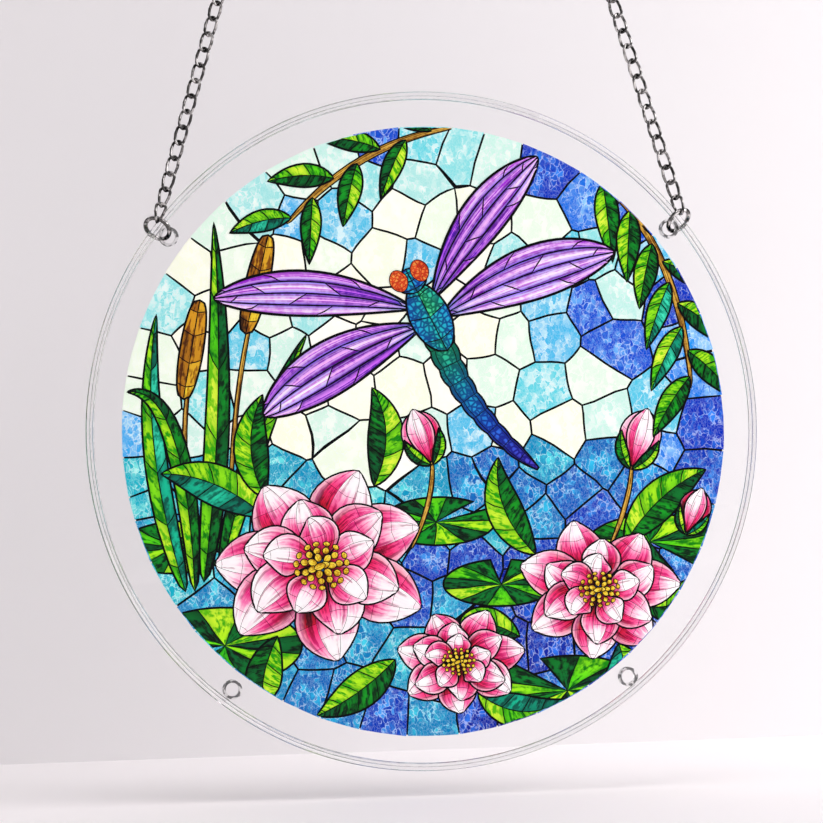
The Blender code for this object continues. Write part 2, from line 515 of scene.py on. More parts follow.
# %% Metal finishes
def make_plating(name, pale, dark, low, high):
    # The dark specular tint is painted shade on the grazing reflections, for dark outlines.
    steel = Finish(name, metallic=1.0, specular_tint=(0.1, 0.1, 0.1, 1))
    place = steel.place()
    cloud = steel.noise(place, 700, detail=3)
    grain = steel.noise(place, 5200, detail=2)
    # Painted highlights and painted dark reflections: pale and near-black blotches of base colour.
    steel.set("Base Color", steel.mix(steel.between(cloud, 0.37, 0.56), pale, dark))
    steel.set("Roughness", steel.between(cloud * 0.6 + grain * 0.4, 0.3, 0.7) * (high - low) + low)
    steel.bump(grain, 0.01 * MM, 0.15)
    return steel


RING_STEEL = make_plating(
    "bright ring plating with painted glints", (0.78, 0.76, 0.75, 1), (0.12, 0.115, 0.113, 1), 0.02, 0.07
)
CHAIN_STEEL = make_plating(
    "smoky chain plating with painted glints", (0.60, 0.58, 0.57, 1), (0.07, 0.067, 0.066, 1), 0.04, 0.15
)
print("finishes:", RING_STEEL.material.name, "and", CHAIN_STEEL.material.name)

# %% [markdown]
# ## Jump rings
# A jump ring is round wire bent until its ends meet, so it is made the same way: a small disc,
# the wire's section, is spun almost all the way round, and its two end faces nearly touch. Each
# ring goes through a hole and round the disc's edge, turned as far to the front as the edge lets it.

# %% Bend the rings
RING_STEPS = 72
WIRE_STEPS = 16
SEAM_GAP = 0.07 * MM
JUMP_RING_WIRE = 0.95 * MM
JUMP_RING_RADIUS = 2.83 * MM
JUMP_RING_TURN = radians(50)
HANGING_RING_WIRE = 1.1 * MM


def bend_ring(name, radius, wire, seam_angle):
    """A ring of wire about Z, its ends meeting at the seam angle."""
    bpy.ops.mesh.primitive_circle_add(vertices=WIRE_STEPS, radius=wire / 2, fill_type="NGON")
    ring = bpy.context.object
    rename(ring, name)
    ring.data.transform(Matrix.Translation((radius, 0, 0)) @ QUARTER)
    sweep = 2 * pi - SEAM_GAP / radius
    with editing(ring):
        bpy.ops.mesh.spin(steps=RING_STEPS, angle=sweep, center=(0, 0, 0), axis=(0, 0, 1))
        bpy.ops.mesh.select_all(action="SELECT")
        bpy.ops.mesh.normals_make_consistent(inside=False)
    activate(ring)
    bpy.ops.object.shade_smooth_by_angle(angle=radians(40))
    ring.data.transform(Matrix.Rotation(seam_angle, 4, "Z"))
    return ring


def box_centre(node):
    low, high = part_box(node)
    return (low + high) / 2


def jump_ring_turn(side):
    """Turns a ring made about Z so that its X runs out from the disc and its Y across the rim."""
    outward = Vector((side * sin(HANGING_HOLE_ANGLE), 0, cos(HANGING_HOLE_ANGLE)))
    along_rim = Vector((-side * outward.z, 0, side * outward.x))
    across = along_rim * cos(JUMP_RING_TURN) + FRONT * sin(JUMP_RING_TURN)
    return Matrix((outward, across, outward.cross(across))).transposed().to_4x4()


SEAM_ANGLES = {"left": radians(118), "right": radians(62)}
for side_name, side in SIDES.items():
    node = f"{side_name}_jump_ring"
    ring = bend_ring(f"{node}_wire", JUMP_RING_RADIUS, JUMP_RING_WIRE, SEAM_ANGLES[side_name])
    settle(ring, Matrix.Translation(box_centre(node)) @ jump_ring_turn(side))
    wear(ring, RING_STEEL)
    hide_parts(node)

low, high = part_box("hanging_ring")
hanging_radius = (high.x - low.x - HANGING_RING_WIRE) / 2
ring = bend_ring("hanging_ring_wire", hanging_radius, HANGING_RING_WIRE, radians(200))
settle(ring, Matrix.Translation((low + high) / 2) @ QUARTER)
wear(ring, RING_STEEL)
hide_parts("hanging_ring")
print("jump rings:", len(SIDES), " hanging ring:", round(2 * hanging_radius / MM, 1), "mm")

# %% [markdown]
# ## One link of curb chain
# A curb link is an oval of wire twisted by a quarter turn, so that a chain of them lies flat. A
# ring of wire is pulled apart into an oval, and a twist modifier turns its two ends opposite ways.
# The left run's links twist the other way from the right run's.

# %% Make a link
LINK_WIRE = 0.65 * MM
LINK_LENGTH = 4.22 * MM
LINK_WIDTH = 2.33 * MM
LINK_TWIST = radians(90)
LINK_STEPS = 24
LINK_WIRE_STEPS = 10
LINKS_PER_SIDE = 56
SINGLE_LINKS = 26


def make_link(name, side):
    """A twisted oval about the origin, its length along Z."""
    bpy.ops.mesh.primitive_torus_add(
        major_radius=LINK_WIDTH / 2, minor_radius=LINK_WIRE / 2,
        major_segments=LINK_STEPS, minor_segments=LINK_WIRE_STEPS,
    )
    link = bpy.context.object
    rename(link, name)
    link.data.transform(QUARTER)
    pull = (LINK_LENGTH - LINK_WIDTH) / 2
    with editing(link, "DESELECT", "VERT"):
        for way in (1, -1):
            pick(link, lambda vert: vert.co.z * way > 0.01 * MM, "verts")
            bpy.ops.transform.translate(value=(0, 0, way * pull))
    apply_modifier(
        link, "SIMPLE_DEFORM", deform_method="TWIST", deform_axis="Z", angle=side * LINK_TWIST
    )
    link.data.shade_smooth()
    return link


# %% [markdown]
# ## The chain
# The solid model says where each of the first links sits, and the others follow at the same step.
# Towards each end the links turn a little about the chain, to meet their rings squarely. The upper
# links of each run stay together as one piece, because the solid model has them as one.

# %% Hang the chain
TURN_STEP = radians(12)
TURNED_AT_PANEL = 3
TURNED_AT_TOP = 4


def link_turn(index):
    from_top = LINKS_PER_SIDE - 1 - index
    at_panel = max(0, TURNED_AT_PANEL - index) * TURN_STEP
    at_top = max(0, TURNED_AT_TOP - from_top) * TURN_STEP
    return at_panel - at_top


def hang_chain(side_name, side):
    first = box_centre(f"{side_name}_chain_link_01")
    last = box_centre(f"{side_name}_chain_link_{SINGLE_LINKS:02d}")
    step = (last - first) / (SINGLE_LINKS - 1)
    up = step.normalized()
    flat = Vector((0, 1, 0)).cross(up).normalized()
    turn = Matrix((flat, up.cross(flat), up)).transposed().to_4x4()
    pattern = make_link(f"{side_name}_link_pattern", side)
    upper = []
    for index in range(LINKS_PER_SIDE):
        link = copy_of(pattern)
        spin = Matrix.Rotation(-side * link_turn(index), 4, "Z")
        settle(link, Matrix.Translation(first + step * index) @ turn @ spin)
        if index < SINGLE_LINKS:
            node = f"{side_name}_chain_link_{index + 1:02d}"
            rename(link, f"{side_name}_link_{index + 1:02d}")
            wear(link, CHAIN_STEEL)
            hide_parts(node)
        else:
            upper.append(link)
    discard(pattern)
    run = join(upper, f"{side_name}_upper_links")
    wear(run, CHAIN_STEEL)
    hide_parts(f"{side_name}_chain_upper_run")
    return len(upper)


for side_name, side in SIDES.items():
    joined = hang_chain(side_name, side)
    print(side_name, "run:", SINGLE_LINKS, "links of their own and", joined, "in one piece")

# %% [markdown]
# ## How the picture is built
# The print looks like leaded glass: hundreds of small panes of colour with black lines between them.
# Each leaf, petal or wing starts as a flat grid of faces that is bent to its outline. Groups of
# faces become panes: the grid is split between groups, each pane is inset, and the strip around it
# is taken away. A black copy of the whole outline lies just under the panes and shows in the gaps.
# Colours are worked out here and stored on the mesh, a light and a deep one for every corner.
# Both sources of chance are seeded, because Blender's noise vectors otherwise start from the clock.

# %% Colours
PICTURE_RADIUS = 67.4 * MM
SEED = 11
dice = random.Random(SEED)
noise.seed_set(SEED)


def rolls(count):
    return [dice.random() for number in range(count)]


def ink(code):
    """A hex colour as the linear numbers that a shader uses."""
    parts = [int(code[place:place + 2], 16) / 255 for place in (0, 2, 4)]
    linear = [part / 12.92 if part < 0.04045 else ((part + 0.055) / 1.055) ** 2.4 for part in parts]
    return Vector(linear + [1.0])


def pairs(*codes):
    return [tuple(ink(code) for code in both.split()) for both in codes]


SKY = pairs("fffffe fefdf0", "fffff8 fafae2", "fcfff4 e2f6e2", "ecfcf6 60d6de", "c0ecfc 1c92ec",
            "7cc4fa 0654d6", "3088f4 022cb4")
WATER = pairs("98fcee 04b0c4", "60f0f0 0290bc", "30c8f0 0264b4", "4cacfc 0238b4", "2c74f0 021e98",
              "1450d8 020c66")
LEAF_LIGHT = pairs("fcfe50 7cd408", "c8fa20 22a004", "60e40c 047008", "1cb818 024810")
LEAF_DARK = pairs("18b020 013a0e", "068a28 00240e", "026630 001408", "013e20 000804")
LEAF_TEAL = pairs("4af4c8 029070", "12c89c 025c4c", "048c6c 013c34", "025448 001c1a")
BARK = pairs("f2c452 8a500c", "c08420 4a2806", "6c4410 180c02")
PETAL = pairs("ffffff fff8fa", "ffffff ffdcea", "ffd0e2 fa7cb6", "ff70ae e6287e", "f62c74 a80c40",
            "d01034 640620", "580410 180004")
WING = pairs("fffaff f09cf8", "fcc0fc b02cdc", "d264f8 5410bc", "7c3cf0 1c0490", "3c26c8 080254",
             "1c1480 030120")
BODY = pairs("52e48e 067a40", "22c4a0 045c58", "1caed0 084a88", "2478e4 0c3094", "3c50dc 1a1884",
             "5a38c0 200c70")
GOLD = pairs("fff88c eec018", "fadc38 bc840c", "dc9c20 783c08", "98580f 381c04")
EMBER = pairs("ffb452 ec4c24", "f05824 a81c0c", "bc2616 540a06")
print("colours:", sum(map(len, (SKY, WATER, LEAF_LIGHT, LEAF_DARK, PETAL, WING, BODY, GOLD, EMBER))))

# %% [markdown]
# ## Laying sheets over each other
# The sheets are laid in the order that a painter would use, the farthest first. A coarse map of the
# picture remembers how many sheets lie on each small tile, so that a new one goes just above what
# it covers. Later every sheet gets a thickness to match its level, the same to the front and to the
# back, and then the picture reads the same from both sides of the disc.

# %% Sheets
TILE = 1.5 * MM
WELD = 0.03 * MM
TRIM_STEPS = 120
TRIM_WELD = 0.3 * MM
GROUND = 1
sheets = defaultdict(list)
stacked = defaultdict(lambda: GROUND)


def spot(x, y):
    return Vector((x, y, 0)) * MM


def mark(mesh, name, number):
    """Stores the same whole number on every face."""
    layer = mesh.attributes.new(name, "INT", "FACE")
    layer.data.foreach_set("value", [number] * len(mesh.polygons))


def level_over(mesh):
    """The level just above everything that the mesh covers, which it then covers itself."""
    points = [vert.co for vert in mesh.vertices] + [face.center for face in mesh.polygons]
    near = [(across, up) for across in (-1, 0, 1) for up in (-1, 0, 1)]
    tiles = {
        (round(point.x / TILE) + across, round(point.y / TILE) + up)
        for point in points for across, up in near
    }
    level = 1 + max(stacked[tile] for tile in tiles)
    for tile in tiles:
        stacked[tile] = level
    return level


def trim(obj, radius=PICTURE_RADIUS, weld=TRIM_WELD):
    """Cuts the sheet to the picture's round edge, with a plane for each short side of it."""
    cuts = 0
    for step in range(TRIM_STEPS):
        out = ray(2 * pi * step / TRIM_STEPS)
        if max((vert.co.dot(out) for vert in obj.data.vertices), default=0) > radius:
            with editing(obj):
                bpy.ops.mesh.bisect(plane_co=out * radius, plane_no=out, clear_outer=True)
            cuts += 1
    if cuts and weld:
        with editing(obj):
            bpy.ops.mesh.remove_doubles(threshold=weld)


def lay(piece, obj, outline, seam):
    with editing(obj):
        bpy.ops.mesh.remove_doubles(threshold=WELD)
    trim(obj)
    if not obj.data.polygons:
        discard(obj)
        return
    mark(obj.data, "level", level_over(obj.data))
    sheets[piece, outline, seam].append(obj)


def sheet(piece, along, across, place, pane, paint, outline=0.34, seam=0.28):
    """A grid bent by place(u, v), numbered by pane(column, row) and coloured by paint(pane, u, v)."""
    bpy.ops.mesh.primitive_grid_add(x_subdivisions=along, y_subdivisions=across, size=1)
    obj = bpy.context.object
    mesh = obj.data
    where = [(vert.co.x + 0.5, vert.co.y + 0.5) for vert in mesh.vertices]
    panes = mesh.attributes.new("pane", "INT", "FACE")
    tint = mesh.attributes.new("tint", "FLOAT_COLOR", "CORNER")
    deep = mesh.attributes.new("deep", "FLOAT_COLOR", "CORNER")
    for face in mesh.polygons:
        column = int((face.center.x + 0.5) * along)
        row = int((face.center.y + 0.5) * across)
        number = pane(column, row)
        panes.data[face.index].value = number
        for corner in face.loop_indices:
            light, dark = paint(number, *where[mesh.loops[corner].vertex_index])
            tint.data[corner].color = light
            deep.data[corner].color = dark
    for vert, (u, v) in zip(mesh.vertices, where):
        vert.co = place(u, v)
    lay(piece, obj, outline, seam)


# %% [markdown]
# ## Leaves, petals and blades
# A leaf, a petal, a reed and a wing are one shape with other numbers: a curved middle line, a width
# that swells and closes again, and veins that slant forward. `lean` moves the widest place towards
# the tip, and `blunt` rounds the ends.

# %% Leaf shapes
def bent(root, bend, tip):
    """A place and a sideways direction for each share of the way along a curved line."""
    def along(share):
        place = root * (1 - share) ** 2 + bend * 2 * share * (1 - share) + tip * share ** 2
        slope = (bend - root) * (1 - share) + (tip - bend) * share
        return place, Vector((-slope.y, slope.x, 0)).normalized()
    return along


def curve(points):
    """The curved line for three points given in millimetres."""
    return bent(*(spot(*point) for point in points))


def shades(palette, u):
    """The pair of colours at share u of the way through a palette, mixed from its neighbours."""
    where = min(max(u, 0), 0.999) * (len(palette) - 1)
    first = int(where)
    share = where - first
    return [a.lerp(b, share) for a, b in zip(palette[first], palette[first + 1])]


def blade(piece, line, width, paint, veins=6, slant=0.45, lean=0.85, blunt=0.8, rows=4, fine=3,
          pane=None, **lead):
    def place(u, v):
        side = 2 * v - 1
        share = 0.35 * u + 0.65 * (1 - cos(pi * u)) / 2
        share += slant * abs(side) * share * (1 - share)
        middle, across = line(share)
        return middle + across * side * width / 2 * sin(pi * share ** lean) ** blunt

    def two_halves(column, row):
        return column // fine * 2 + (row * 2 >= rows)

    sheet(piece, veins * fine, rows, place, pane or two_halves, paint, **lead)


def leaf(points, width, lit=1, veins=6, **shape):
    """A two-tone leaf, its lit side in yellows and limes and its other side in deep greens."""
    picks = rolls(veins * 2)
    shady = LEAF_TEAL if dice.random() < 0.25 else LEAF_DARK

    def paint(number, u, v):
        palette = LEAF_LIGHT if number % 2 == lit else shady
        share = 0.65 * picks[number] + 0.6 * abs(u - 0.45)
        light, dark = shades(palette, share)
        side = abs(2 * v - 1)
        vein = abs(2 * (u * veins % 1) - 1)
        return light.lerp(dark, 0.55 * vein ** 2 + 0.4 * side ** 3 + 0.35 * (side < 0.1)), dark

    blade("leaves", curve(points), width * MM, paint, veins, **shape)


def stem(points, width):
    def paint(number, u, v):
        return shades(BARK, 0.6 * abs(2 * v - 1) + 0.3 * (number % 4 == 0))

    blade("stems", curve(points), width * MM, paint, 9, 0, 1.0, 0.25, 2, 2,
          outline=0.28, seam=0.05)


print("shapes ready:", ", ".join(shape.__name__ for shape in (sheet, blade, leaf, stem)))

# %% [markdown]
# ## The sky and the water
# The background is a crazy paving of panes. A seed is set down for every pane, on loose rows, and
# each pane is a disc cut back by the planes halfway to its neighbours. The panes are then nudged by
# one smooth noise, which bends shared edges together. The sky is cream, mint and pale blue, with
# deeper blues to the right, and the panes of the water are wider and go from turquoise to cobalt.

# %% Background panes
WATERLINE = -6 * MM
EDGE_SEEDS = 40
EDGE_BAND = (3.2, 6.0)
ROWS_REACH = 60 * MM
ROWS_LEFT = -62 * MM
ROWS_WIDTH = 130 * MM
SEED_GAPS = {"wet": 12.0 * MM, "dry": 10.2 * MM}
ROW_GAPS = {"wet": 7.6 * MM, "dry": 9.2 * MM}
CLOSEST_SEEDS = 6 * MM
CELL_REACH = 15 * MM
CELL_STEPS = 24
CORNER_WELD = 0.7 * MM
WARP = 1.2 * MM
WARP_SIZE = 9 * MM


def sow():
    """A ring of seeds just inside the edge, then loose rows, wider apart across the water."""
    seeds = []
    for number in range(EDGE_SEEDS):
        angle = 2 * pi * (number + dice.uniform(-0.25, 0.25)) / EDGE_SEEDS
        reach = PICTURE_RADIUS - dice.uniform(*EDGE_BAND) * MM
        seeds.append(ray(angle) * reach)
    height = -ROWS_REACH
    row = 0
    while height < ROWS_REACH:
        glass = "wet" if height < WATERLINE else "dry"
        gap = SEED_GAPS[glass]
        for column in range(int(ROWS_WIDTH / gap)):
            slide = (row % 2) * 0.5 + dice.uniform(-0.3, 0.3)
            lift = dice.uniform(-0.3, 0.3) * gap * 0.8
            seed = Vector((ROWS_LEFT + (column + slide) * gap, height + lift, 0))
            nearest = min((seed - other).length for other in seeds)
            if seed.length < PICTURE_RADIUS and nearest > CLOSEST_SEEDS:
                seeds.append(seed)
        height += ROW_GAPS[glass]
        row += 1
    return seeds


def cut_cell(seed, seeds):
    bpy.ops.mesh.primitive_circle_add(
        vertices=CELL_STEPS, radius=CELL_REACH, fill_type="NGON", location=seed
    )
    cell = bpy.context.object
    settle(cell, Matrix.Identity(4))
    with editing(cell):
        for other in seeds:
            gap = other - seed
            if 0 < gap.length < 2 * CELL_REACH:
                bpy.ops.mesh.select_all(action="SELECT")
                middle = seed + gap / 2
                bpy.ops.mesh.bisect(plane_co=middle, plane_no=gap.normalized(), clear_outer=True)
        bpy.ops.mesh.select_all(action="SELECT")
        bpy.ops.mesh.remove_doubles(threshold=CORNER_WELD)
        bpy.ops.mesh.subdivide(number_cuts=3)
        bpy.ops.mesh.dissolve_faces()
    return cell


def cell_colours(seed):
    wet = seed.y < WATERLINE
    right = seed.x / PICTURE_RADIUS
    high = seed.y / PICTURE_RADIUS
    if wet:
        return shades(WATER, 0.36 + 0.4 * right - 0.45 * (high + 0.4) + dice.uniform(-0.3, 0.3))
    share = 0.08 + 0.95 * max(right - 0.2, 0) + 0.6 * max(high - 0.5, 0) + dice.uniform(-0.15, 0.3)
    return shades(SKY, share + 0.28 * (dice.random() < 0.24))


seeds = sow()
print("background:", len(seeds), "seeds")

# %% [markdown]
# ## Panes of the background
# Each pane is shrunk by half a lead line and then poked, which fans its face out from a new middle.
# The middle keeps the light colour, and the border is painted deeper on one side than on the other,
# so every pane fades across like a piece of hand-made glass.

# %% Background
PAVING_GAP = 0.24 * MM
FADE_SIZE = 7 * MM
FADE_MIDDLE = 0.45
FADE_SWING = 0.75


def shrink(thickness, single=False):
    """Insets the selected panes and takes away the strip around them."""
    bpy.ops.mesh.inset(
        thickness=thickness, use_boundary=True, use_even_offset=False, use_individual=single
    )
    bpy.ops.mesh.select_all(action="INVERT")
    bpy.ops.mesh.delete(type="FACE")
    pick(bpy.context.object, lambda face: face.normal.z < 0)
    bpy.ops.mesh.delete(type="FACE")
    bpy.ops.mesh.select_all(action="SELECT")


def pave():
    cells = []
    for seed in seeds:
        cell = cut_cell(seed, seeds)
        for vert in cell.data.vertices:
            vert.co += noise.noise_vector(vert.co / WARP_SIZE) * Vector((1, 1, 0)) * WARP
        trim(cell)
        if not cell.data.polygons:
            discard(cell)
            continue
        mesh = cell.data
        mark(mesh, "level", GROUND)
        for name, colour in zip(("tint", "deep"), cell_colours(seed)):
            layer = mesh.attributes.new(name, "FLOAT_COLOR", "CORNER")
            layer.data.foreach_set("color", list(colour) * len(mesh.loops))
        cells.append(cell)
    paving = join(cells, "print_background")
    with editing(paving):
        shrink(PAVING_GAP, True)
        bpy.ops.mesh.poke()
    mesh = paving.data
    fans = defaultdict(int)
    for corner in mesh.loops:
        fans[corner.vertex_index] += 1
    tint, deep = mesh.attributes["tint"].data, mesh.attributes["deep"].data
    for corner in mesh.loops:
        if fans[corner.vertex_index] == 2:
            light, dark = Vector(tint[corner.index].color), Vector(deep[corner.index].color)
            here = mesh.vertices[corner.vertex_index].co / FADE_SIZE
            fade = FADE_MIDDLE + FADE_SWING * noise.noise(here)
            tint[corner.index].color = light.lerp(dark, min(max(fade, 0.1), 0.9))
    return paving, len(cells)


paving, cells = pave()
print("background:", cells, "panes")

# %% [markdown]
# ## Pads and reeds
# A pad is a round sheet with a notch, flattened because it lies on the water, and its panes are the
# wedges between its veins. Reeds are narrow blades, and a cattail is a blunt brown one on a stalk.

# %% Pads and reeds
PAD_WEDGES = 11
PAD_NOTCH = 0.34


def pad(x, y, radius, squash, notch):
    picks = rolls(PAD_WEDGES)

    def place(u, v):
        angle = radians(notch) - PAD_NOTCH / 2 - u * (2 * pi - PAD_NOTCH)
        reach = radius * MM * v * (1 + 0.03 * sin(9 * u))
        return spot(x, y) + ray(angle, squash) * reach

    def paint(number, u, v):
        palette = LEAF_LIGHT if number % 2 else LEAF_DARK
        light, dark = shades(palette, 0.65 * picks[number] + 0.35 * (1 - v))
        vein = abs(2 * (u * PAD_WEDGES % 1) - 1)
        return light.lerp(dark, 0.4 * v ** 6 + 0.45 * vein ** 2), dark

    sheet("leaves", PAD_WEDGES * 4, 3, place, lambda column, row: column // 4, paint)


def reed(points, width):
    leaf(points, width, dice.randrange(2), 7, slant=0.2, lean=0.7, blunt=0.6)


def cattail(points, foot, top):
    """A stalk with a blunt brown head between the places foot and top."""
    stem(points, 1.3)
    middle = ((foot[0] + top[0]) / 2, (foot[1] + top[1]) / 2)
    picks = rolls(12)

    def paint(number, u, v):
        return shades(GOLD, 0.35 + 0.4 * picks[number] + 0.3 * (number % 2))

    blade("stems", curve((foot, middle, top)), 5.6 * MM, paint, 5, 0.2, 1.0, 0.3)


for numbers in ((-46, -46, 18, 0.48, 210), (30, -58, 17, 0.45, 120), (50, -26, 15, 0.45, 300),
                (2, -20, 13, 0.42, 40), (-56, -24, 13, 0.45, 330), (16, -34, 13, 0.42, 90)):
    pad(*numbers)

cattail(((-50, -30), (-57, 0), (-50, 20)), (-53.6, 8), (-49.4, 30))
cattail(((-44, -20), (-43, 10), (-37, 30)), (-39.6, 22), (-34.0, 44))
reed(((-54, -34), (-64, 0), (-59, 27)), 5.4)
reed(((-50, -32), (-44, 6), (-46, 47)), 5.8)
reed(((-46, -30), (-40, -2), (-26, 22)), 5.2)
reed(((-52, -34), (-53, 12), (-66, 10)), 5.0)
print("sheets after the reeds:", sum(map(len, sheets.values())))

# %% [markdown]
# ## Water lilies
# A lily is three rings of petals, the outermost laid first. A petal is cut into nine facets by hair
# lines. In each of its three strips a flush runs from the crimson root towards the white tip, and it
# reaches farthest on one side. Gold stamens lie over the heart.

# %% Lilies
FACET_SHIFTS = (1, -1, 2)
PETAL_VEINS = 5
PETAL_COLUMNS = 3 * PETAL_VEINS
PETAL_RINGS = (
    # petals, length, width, turn, flush, hidden share
    (7, 1.0, 0.6, 0.0, 0.02, 0.38),
    (6, 0.76, 0.5, 0.35, 0.0, 0.3),
    (5, 0.52, 0.4, 0.1, 0.0, 0.15),
)
STAMEN_RINGS = (
    # radius, stamens, half length
    (0.23, 15, 0.03), (0.16, 11, 0.04), (0.09, 7, 0.05), (0.02, 2, 0.06),
)


def petal(root, bend, tip, width, flush, hidden=0.0):
    """One petal, whose share named hidden lies under the petals in front of it."""
    picks = rolls(9)
    blushing = dice.choice((0, 2))

    def shown(u):
        return max(0, (u - hidden) / (1 - hidden))

    def paint(number, u, v):
        strip = number // 3
        rim = abs(2 * v - 1) > 0.9 and u > 0.3
        reach = 1.05 if strip == blushing else 0.5 + 0.3 * picks[strip]
        share = flush + 0.95 * max(0, 1 - shown(u) / reach) ** 0.95 + 0.14 * picks[number] ** 2
        return shades(PETAL, share * (0.4 if rim else 1))

    def pane(column, row):
        strip = row // 2
        return strip * 3 + min(2, int(3 * shown((column + FACET_SHIFTS[strip]) / PETAL_COLUMNS)))

    blade("petals", bent(root, bend, tip), width, paint, PETAL_VEINS, 0.25, 1.25, 0.72, 6, 3, pane,
          outline=0.34, seam=0.1)


def lily(x, y, size, squash, turn):
    heart = spot(x, y)
    for count, reach, width, start, flush, hidden in PETAL_RINGS:
        for number in range(count):
            angle = radians(turn) + 2 * pi * (number + start) / count
            angle += dice.uniform(-0.07, 0.07)
            way = ray(angle, squash) * size * MM
            side = Vector((-way.y, way.x, 0)) * dice.uniform(-0.16, 0.16)
            tip = heart + way * reach * dice.uniform(0.95, 1.05)
            bend = heart + way * reach / 2 + side
            petal(heart + way * 0.06, bend, tip, width * size * MM, flush, hidden)
    for ring, count, length in STAMEN_RINGS:
        for number in range(count):
            angle = 2 * pi * (number + ring + dice.uniform(-0.15, 0.15)) / count
            way = ray(angle, squash) * size * MM
            stamen(heart + way * ring, way * length, size * 0.072 * MM)


def stamen(place, half, width):
    def paint(number, u, v):
        return shades(GOLD, 0.1 + 0.5 * (1 - u))

    blade("stamens", bent(place - half, place, place + half), width, paint, 2, 0, 1.0, 0.5, 2,
          outline=0.2, seam=0.0)


def bud(root, tip, width):
    """A closed flower, three petals held by two green sepals."""
    low, high = spot(*root), spot(*tip)
    way = high - low
    side = Vector((-way.y, way.x, 0))
    for lean_out, flush in ((0.16, 0.35), (-0.16, 0.2), (0.0, 0.02)):
        petal(low, low + way * 0.5 + side * lean_out * 2, high - way * abs(lean_out) * 0.3,
              width * (0.62 if lean_out else 0.75) * MM, flush)
    for lean_out in (0.32, -0.32):
        tip_at = low + way * 0.55 + side * lean_out
        bend_at = low + way * 0.2 + side * lean_out
        points = [(point.x / MM, point.y / MM) for point in (low - way * 0.05, bend_at, tip_at)]
        leaf(points, width * 0.36, 0, 3, slant=0.2)


for points, width in (
    (((-36, -18), (-47, -8), (-59, -8)), 9.5), (((-34, -44), (-40, -56), (-36, -60)), 8.5),
    (((-12, -12), (-6, 0), (-12, 10)), 8.5), (((-36, -14), (-42, -2), (-36, 9)), 8.0),
    (((44, -26), (52, -14), (63, -10)), 9.0), (((48, -40), (58, -42), (62, -32)), 8.5),
    (((24, -28), (14, -18), (16, -6)), 8.5), (((20, -46), (10, -40), (6, -44)), 7.5),
    (((42, -48), (46, -58), (38, -62)), 9.0), (((-8, -50), (-16, -58), (-26, -62)), 8.5),
    (((10, -58), (20, -66), (30, -60)), 8.0),
):
    leaf(points, width, dice.randrange(2))

stem(((40, -28), (46, -16), (46, -8)), 1.4)
stem(((-4, -26), (2, -14), (1, -6)), 1.4)
lily(6, -51, 15, 0.8, 12)
lily(38, -36, 18.5, 0.84, 5)
lily(-24, -29, 24.5, 0.86, 20)
bud((46, -9), (50, 4), 9)
bud((1, -7), (-3, 5), 8.5)
bud((58, -24), (62, -14), 7)
print("sheets after the lilies:", sum(map(len, sheets.values())))

# %% [markdown]
# ## Willow twigs
# Two twigs come in over the sky, each a thin stem with narrow leaves to the left and right by turns.

# %% Twigs
def twig(points, count, length, width):
    line = curve(points)
    stem(points, 1.9)
    for number in range(count):
        side = 1 if number % 2 else -1
        share = 0.12 + 0.84 * number / (count - 1)
        root, across = line(share)
        ahead = line(min(share + 0.02, 1.0))[0] - line(share - 0.02)[0]
        way = (ahead.normalized() * 0.8 + across * side * 0.75).normalized() * length * MM
        sag = Vector((0, -0.16, 0)) * length * MM
        places = (root, root + way * 0.5 - sag * 0.4, root + way * dice.uniform(0.85, 1.1) + sag)
        spots = [(place.x / MM, place.y / MM) for place in places]
        leaf(spots, width * dice.uniform(0.9, 1.1), number % 2, 5)


twig(((36, 58), (58, 44), (60, 8)), 11, 15, 5.6)
twig(((8, 67), (-14, 64), (-30, 46)), 7, 14, 5.2)
print("sheets after the twigs:", sum(map(len, sheets.values())))

# %% [markdown]
# ## The dragonfly
# Its four wings are blades with their panes in staggered rows, like the cells of a real wing. The
# tail is one long sheet whose sides swell at every joint. Thorax, head and eyes are short and blunt.

# %% Dragonfly
HEADING = radians(116)
THORAX = (1, 26)
TAIL_JOINTS = 9
WING_PANES = 310


def wing(root, angle, length, width, lit):
    low = spot(*root)
    way = ray(angle) * length * MM
    side = Vector((-way.y, way.x, 0)) * 0.1 * lit
    picks = rolls(WING_PANES)

    def pane(column, row):
        return row // 2 * 100 + (column + row // 2 * 5) // 9

    def paint(number, u, v):
        front = v if lit > 0 else 1 - v
        rim = abs(2 * (4 * v % 1) - 1)
        share = 0.45 * picks[number] ** 2 + 0.2 * front ** 2 + 0.6 * rim ** 3 - 0.05
        share += 0.5 * max(0, 0.45 - u)
        light, dark = shades(WING, share)
        root_share = max(0, 1 - u / 0.22)
        blue, navy = shades(BODY, 0.35 + 0.35 * picks[number])
        return light.lerp(blue, root_share), dark.lerp(navy, root_share)

    line = bent(low, low + way * 0.5 + side, low + way)
    blade("wings", line, width * MM, paint, 8, 0.7, 1.25, 0.6, 8, 4, pane, outline=0.42, seam=0.34)


def tail(points, width):
    line = curve(points)

    def place(u, v):
        middle, across = line(u)
        swell = 1 + 0.16 * sin(pi * (u * TAIL_JOINTS % 1))
        taper = (1 - 0.62 * u) * min(1, 6 * (1 - u) + 0.35)
        return middle + across * (2 * v - 1) * width * MM / 2 * swell * taper

    def paint(number, u, v):
        light, dark = shades(BODY, 0.95 * u)
        side = abs(2 * v - 1)
        return light.lerp(dark, 0.8 * (side > 0.6) + 0.2 * (number // 3 % 2)), dark

    def pane(column, row):
        return column // 3 * 3 + (row + 2) // 3

    sheet("body", TAIL_JOINTS * 3, 5, place, pane, paint, outline=0.32, seam=0.2)


